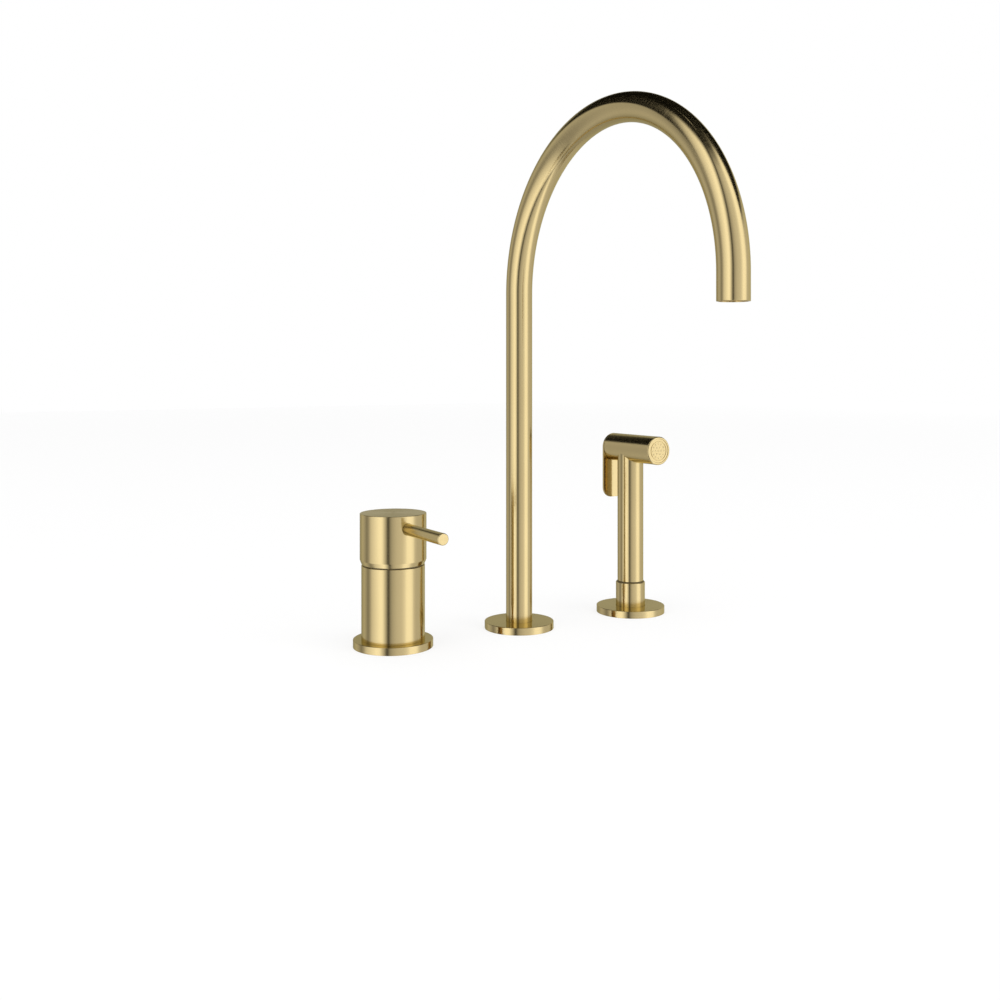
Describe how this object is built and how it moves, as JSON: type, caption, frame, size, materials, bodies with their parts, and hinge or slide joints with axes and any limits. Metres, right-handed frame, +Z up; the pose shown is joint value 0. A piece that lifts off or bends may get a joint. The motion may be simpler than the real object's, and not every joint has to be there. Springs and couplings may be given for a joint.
{
  "type": "side spray kitchen faucet",
  "caption": "Deck-mounted kitchen mixer in brushed brass: lever mixer, tall swivelling arch spout and pull-out hand spray with a thumb lever, each on its own round flange.",
  "frame": {"origin": "middle of the spout's foot on the worktop's surface", "axes": "+Z up, +X along the row from the mixer to the side spray, -Y towards the user"},
  "size_m": [0.2968, 0.3014, 0.4759],
  "materials": {
    "brushed_brass": "brushed round the axis, satin",
    "turned_brass": "turned, unplated",
    "stainless_steel": "bright",
    "black_rubber": "moulded",
    "grey_silicone": "moulded, matt",
    "black_plastic": "moulded",
    "pale_plastic": "moulded",
    "alumina": "lapped"
  },
  "bodies": {
    "fixed_units": {"mixer_flange": "brushed_brass", "mixer_body": "brushed_brass", "mixer_shank": "turned_brass", "mixer_gasket": "black_rubber", "mixer_rubber_washer": "black_rubber", "mixer_steel_washer": "stainless_steel", "mixer_lock_nut": "turned_brass", "cartridge_base": "pale_plastic", "cartridge_seals": "black_rubber", "fixed_ceramic_disc": "alumina", "cartridge_housing": "pale_plastic", "cartridge_nut": "turned_brass", "glide_ring": "black_plastic", "spout_flange": "brushed_brass", "spout_shank": "turned_brass", "spout_slip_ring": "black_plastic", "spout_gasket": "black_rubber", "spout_rubber_washer": "black_rubber", "spout_steel_washer": "stainless_steel", "spout_lock_nut": "turned_brass", "spray_flange": "brushed_brass", "spray_holder": "brushed_brass", "holder_liner": "black_plastic", "spray_gasket": "black_rubber", "spray_rubber_washer": "black_rubber", "spray_steel_washer": "stainless_steel", "spray_lock_nut": "turned_brass"},
    "mixer_handle": {"mixer_cap": "brushed_brass", "mixer_lever": "brushed_brass", "cap_grub_screw": "stainless_steel", "cartridge_stem": "turned_brass", "moving_ceramic_disc": "alumina", "stem_o_ring": "black_rubber"},
    "spout": {"spout_tube": "brushed_brass", "spout_spigot": "turned_brass", "spout_o_rings": "black_rubber", "spout_snap_ring": "stainless_steel", "outlet_insert": "turned_brass", "aerator_housing": "pale_plastic", "flow_straightener": "pale_plastic", "aerator_seal": "black_rubber"},
    "spray_inlet": {"inlet_swivel": "turned_brass", "swivel_snap_ring": "stainless_steel", "swivel_o_ring": "black_rubber"},
    "handset": {"spray_handle": "brushed_brass", "handle_foot": "turned_brass", "waterway_tube": "pale_plastic", "check_valve": "black_plastic", "spray_head": "brushed_brass", "valve_body": "black_plastic", "stem_seal": "black_rubber", "face_seal": "black_rubber", "spray_face": "brushed_brass", "spray_nozzles": "grey_silicone", "trigger_pin": "stainless_steel", "valve_spring": "stainless_steel"},
    "trigger": {"trigger_lever": "brushed_brass"},
    "plunger": {"valve_plunger": "turned_brass", "plunger_seal": "black_rubber"}
  },
  "joints": [
    {"name": "mixer_turn", "type": "hinge", "parent": "fixed_units", "child": "mixer_handle", "pos_m": [-0.117, 0, 0], "axis": [0, 0, -1], "range_deg": [0, 100]},
    {"name": "spout_swivel", "type": "hinge", "parent": "fixed_units", "child": "spout", "pos_m": [0, 0, 0], "axis": [0, 0, 1], "continuous": true},
    {"name": "spray_lift", "type": "slide", "parent": "fixed_units", "child": "spray_inlet", "axis": [0, 0, 1], "range_m": [0, 0.2]},
    {"name": "spray_turn", "type": "hinge", "parent": "spray_inlet", "child": "handset", "pos_m": [0.118, 0, 0], "axis": [0, 0, 1], "continuous": true},
    {"name": "trigger_squeeze", "type": "hinge", "parent": "handset", "child": "trigger", "pos_m": [0.118, 0.0208, 0.1385], "axis": [-1, 0, 0], "range_deg": [0, 7], "stiffness_Nm_per_rad": 0.6, "springref_deg": -11.46},
    {"name": "valve_slide", "type": "slide", "parent": "handset", "child": "plunger", "axis": [0, 1, 0], "range_m": [0, 0.0015], "deforming": ["valve_spring"]}
  ],
  "couplings": [
    {"joint": "valve_slide", "follows": "trigger_squeeze", "m_per_rad": 0.012}
  ]
}
